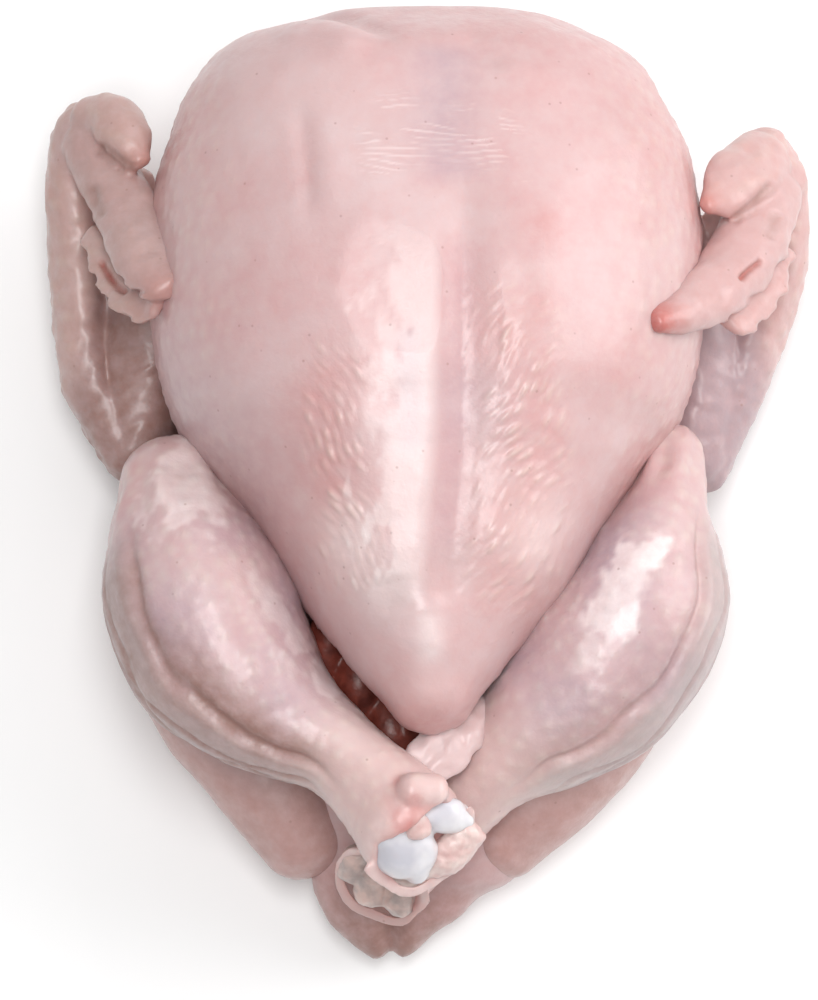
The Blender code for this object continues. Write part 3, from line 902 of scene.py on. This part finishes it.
# The bare ends of the leg bones, in each hock's own place: across, up, out, half width, half depth
knuckleSettings = {
    "voxel": 0.5, "smoothing": 2, "membraneSmoothing": 6,
    "lumpHeight": 0.6, "tornHeight": 0.4,
}
knuckleRows = {
    "cartilageLeft": (hockLeft, cartilage, [
        [
            (-6.5, 8, -3, 5.5, 4.5), (-5.5, 3, -2, 8.8, 5.5), (-4.5, -4, -1.6, 8, 5.5),
            (-5.2, -9.5, -2.4, 4, 4),
        ],
        [(4.5, 6, -3.5, 4.2, 4), (9.5, 1.5, -2, 5.6, 4.5), (12.5, -3, -3, 4, 4)],
    ]),
    "padLeft": (hockLeft, fat, [
        [(1.5, 10, 0, 3.2, 3), (0.5, 6, 1.5, 3.8, 3)],
        [(-3, -12, -3, 4, 3), (4, -10.5, -1, 6, 4.5), (12, -7.5, -1.5, 6, 4.5)],
    ]),
    "membraneRight": (hockRight, membrane, [
        [(-9.5, 4.5, -2.5, 3.6, 3.6), (-9.5, -2.5, -2, 4, 3.6)],
        [(-3, 0, -2.6, 4.6, 4.2), (-1.5, -6, -1, 5.2, 4.2)],
        [(6, 1, -3, 4.2, 4.2), (6.5, -4.5, -1.5, 4.6, 4.2)],
        [(-6, 8, -2.4, 4.2, 3.4), (1, 7.8, -1.8, 4.4, 3.6), (7, 6.5, -2.4, 3.8, 3.4)],
    ]),
}


def makeKnuckle(name):
    settings = knuckleSettings
    hock, material, table = knuckleRows[name]
    lobes = [lobe(name, onHock(hock, rows), top=hock["facing"], fine=32) for rows in table]
    smoothing = settings["membraneSmoothing" if material is membrane else "smoothing"]
    knuckle = fuse(name, lobes, settings["voxel"], smoothing)
    points, normals = pointsOf(knuckle), normalsOf(knuckle)
    torn = 0 if material is cartilage else settings["tornHeight"]  # cartilage is smooth
    relief = ripples(points, 5, 4.0) * settings["lumpHeight"] + ripples(points, 2, 1.0) * torn
    movePoints(knuckle, points + normals * relief[:, None])
    return dress(knuckle, material)


knuckles = [makeKnuckle(name) for name in knuckleRows]
print("knuckles", *(len(knuckle.data.polygons) for knuckle in knuckles))


wingSettings = {
    "voxel": 0.8, "smoothing": 3,
    "moundSpacing": 5.5, "moundHeight": 0.6,
    "ruffleHeight": 0.8, "slitDepth": 1.6,
}
wingLobes = ("upperArm", "web", "forearm", "wrist", "hand", "flap", "thumb", "thumbTip")

wingLeft = {
    "seed": 2.0, "tip": (-72, 46, 86),
    "slit": [(-93.5, 63, 0), (-89, 55, 0), (-84, 49.5, 0)],
    "creases": [
        ([(-95, 96, 0), (-89, 91, 0), (-82, 86, 0)], 1.6, 1.2), ([(-96, 84, 0), (-92, 72, 0)], 2.2, 0.8),
    ],
    "upperArm": [(-58, 92, 38, 17, 19), (-78, 54, 28, 15, 15), (-85, 18, 22, 12, 12)],
    "web": [(-92, 22, 20, 9, 8), (-91, 46, 24, 13, 8), (-89, 72, 30, 13, 8), (-90, 90, 38, 11, 7)],
    "forearm": [
        (-85.5, 14, 22, 9, 11), (-97.5, 34, 24, 8.5, 12), (-101, 57, 27, 8.5, 12.5),
        (-102, 76, 32, 8.7, 12.5), (-102, 92, 38, 9, 12), (-99, 104, 43, 9, 11),
    ],
    "wrist": [(-99, 100, 44, 9, 9), (-94, 106, 49, 8, 7)],
    "hand": [
        (-97, 99, 50, 8.5, 8), (-91, 87, 57, 9, 7), (-84.5, 74, 66, 9.5, 6), (-79.5, 60, 76, 9, 5.2),
        (-73.5, 49, 84, 6, 4),
    ],
    "flap": [(-94, 72, 54, 5, 3), (-88, 59, 62, 7, 2.4), (-80.5, 49, 72, 7, 2.2), (-75, 45, 80, 4, 2)],
    "thumb": [
        (-97, 106, 52, 7, 6), (-90, 104, 59, 7.5, 5.5), (-85.5, 96, 64.5, 7.5, 5),
        (-82.5, 89.5, 67, 4.5, 3),
    ],
    "thumbTip": [(-83, 91, 67, 2.5, 2), (-80.5, 89, 68, 1.2, 1)],
}
wingRight = {
    "seed": 8.0, "tip": (62, 36, 96),
    "slit": [(95.5, 60, 0), (91, 56, 0), (87.5, 52, 0)],
    "creases": [
        ([(99, 84, 0), (92.5, 76.5, 0), (86, 71, 0)], 1.4, 1.2), ([(100, 76, 0), (97, 66, 0)], 2.2, 0.8),
    ],
    "upperArm": [(58, 88, 38, 17, 19), (78, 46, 28, 14, 15), (77, 12, 22, 11, 12)],
    "web": [(82, 16, 20, 9, 8), (87, 40, 25, 13, 8), (89, 62, 32, 14, 8), (92, 80, 40, 11, 7)],
    "forearm": [
        (80.5, 10, 20, 8, 10), (88.5, 30, 23, 9, 11), (97, 51, 28, 9.5, 12), (101.5, 70, 34, 9.5, 12.5),
        (102, 85, 38, 9, 12), (98, 96, 42, 9, 11),
    ],
    "wrist": [(101, 88, 45, 9, 9), (95, 97, 50, 9, 7)],
    "hand": [
        (98, 84, 52, 10, 9), (92.5, 68, 61, 10.5, 8.5), (84, 54, 72, 9.5, 7.5), (74, 43.5, 84, 7.5, 6),
        (64, 37, 94, 3.6, 3.4),
    ],
    "flap": [(100, 66, 52, 6, 4), (94.5, 52, 60, 6, 3), (86, 42, 69, 5, 2.4)],
    "thumb": [(97, 94, 54, 9, 6.5), (90, 86, 64, 10, 5.5), (84, 79, 69, 7.5, 4), (80, 76, 71, 3, 2.5)],
    "thumbTip": [(80.5, 76.5, 71, 1.8, 1.6), (78, 76, 71.5, 1, 0.9)],
}


def makeWing(name, parts):
    settings = wingSettings
    lobes = [lobe(part, parts[part], fine=48) for part in wingLobes]
    wing = fuse(name, lobes, settings["voxel"], settings["smoothing"])
    points, normals = pointsOf(wing), normalsOf(wing)
    far, turn, radius = limbPlace(points, parts["forearm"])
    spacing = settings["moundSpacing"]
    hand = nearest(points, curveThrough(parts["hand"]), flat=False)[0]
    flap = nearest(points, curveThrough(parts["flap"]), flat=False)[0]
    onArm = ease(hand, 8, 13)
    bumps = mounds(far / spacing, np.radians(turn) * radius / spacing, parts["seed"]) * onArm
    relief = bumps * settings["moundHeight"] + ripples(points, 10, parts["seed"]) * 0.7
    edge = 1 - ease(np.abs(normals[:, 2]), 0.3, 0.7)
    ruffles = (np.sin(far / 1.3) + 0.5 * np.sin(far / 0.7 + 1)) * ridge(flap, 6, 3) * edge
    slit = np.minimum(band(points, parts["slit"], 0.9), ease(points[:, 2], 45, 52))
    creases = bands(points, parts["creases"]) * ease(points[:, 2], 45, 52)
    relief += ripples(points, 4, 3.0) * 0.3 - creases
    relief += settings["ruffleHeight"] * ruffles - settings["slitDepth"] * slit
    points += normals * relief[:, None]
    movePoints(wing, points)
    normals = normalsOf(wing)
    arm = nearest(points, curveThrough(parts["upperArm"]), flat=False)[0]
    # the left wing is painted greyer and darker than the right, as painted shade, on the side away from the
    # lamps
    left = parts is wingLeft
    thumbEnd = parts["thumbTip"][-1][:3]
    innerTintAndShade = (1 - ease(arm, 16, 25)) * ease(-points[:, 1], -78, -52)
    masks = {
        "paleMoundsAndLeafHighlight": 0.5 * bumps,
        "lilac": 0.9 * innerTintAndShade + (0.3 if left else 0.1) * (1 - onArm),
        # painted shade beside the body, in the creases and in the slit
        "shade": innerTintAndShade * (0.6 if left else 0.15) + (0.3 if left else 0.0) + 0.5 * creases + 0.8 * slit,
        "cream": 0.12 + 0.15 * left,
        "blush": (0.1 if left else 0.25) + spots(points, [(*parts["tip"], 9, 1.0), (*thumbEnd, 5, 0.9)]),
        "blood": spots(points, [(*parts["tip"], 7, 0.1 if left else 0.7)]) + 0.5 * slit,
        "wrinkle": 0.2,
    }
    return dress(wing, skin, masks, points / (2.0, 4.5, 3.0))


wings = [makeWing("wingLeft", wingLeft), makeWing("wingRight", wingRight)]
print("wings", *(len(wing.data.polygons) for wing in wings))


studio = {
    "lookAt": (0, 0, 50), "distance": 1250, "elevation": 80, "lens": 158, "shift": (-0.0175, -0.018),
    "floor": 0.93, "fill": 0.37,
    "lights": {  # place, size, watts
        "overhead": ((-10, -60, 1100), (290, 600), 6.4),
        "near": ((-250, -650, 950), (700, 500), 1.6),
        "right": ((950, 250, 600), (800, 800), 7.4),
        "far": ((250, 900, 750), (1400, 1000), 4.2),
    },
}


def areaLight(name, place, size, power):
    bpy.ops.object.light_add(type="AREA", location=[v * mm for v in place])
    light = bpy.context.active_object
    light.name = name
    light.data.shape = "RECTANGLE"
    light.data.size, light.data.size_y = size[0] * mm, size[1] * mm
    light.data.energy = power
    light.rotation_euler = (Vector(studio["lookAt"]) - Vector(place)).to_track_quat("-Z", "Y").to_euler()


def makeStudio():
    bpy.ops.object.select_all(action="DESELECT")
    bpy.ops.mesh.primitive_plane_add(size=6)
    floor = bpy.context.active_object
    floor.name = "floor"
    paper, tree, shader = newMaterial("matt white paper")
    shader.inputs["Base Color"].default_value = (*[studio["floor"]] * 3, 1)
    shader.inputs["Roughness"].default_value = 0.9
    floor.data.materials.append(paper)
    world = bpy.data.worlds.new("studio")
    world.use_nodes = True
    world.node_tree.nodes["Background"].inputs["Color"].default_value = (1, 1, 1, 1)
    world.node_tree.nodes["Background"].inputs["Strength"].default_value = studio["fill"]
    bpy.context.scene.world = world
    for name, (place, size, power) in studio["lights"].items():
        areaLight(name, place, size, power)
    aim = Vector(studio["lookAt"]) * mm
    rise = math.radians(studio["elevation"])
    back = Vector((0, -math.cos(rise), math.sin(rise)))
    bpy.ops.object.camera_add(location=aim + back * studio["distance"] * mm)
    camera = bpy.context.active_object
    camera.rotation_euler = (-back).to_track_quat("-Z", "Y").to_euler()
    camera.data.lens = studio["lens"]
    camera.data.shift_x, camera.data.shift_y = studio["shift"]
    camera.data.clip_start, camera.data.clip_end = 0.05, 20
    bpy.context.scene.camera = camera
    bpy.context.scene.view_settings.view_transform = "Standard"


makeStudio()
print("studio")
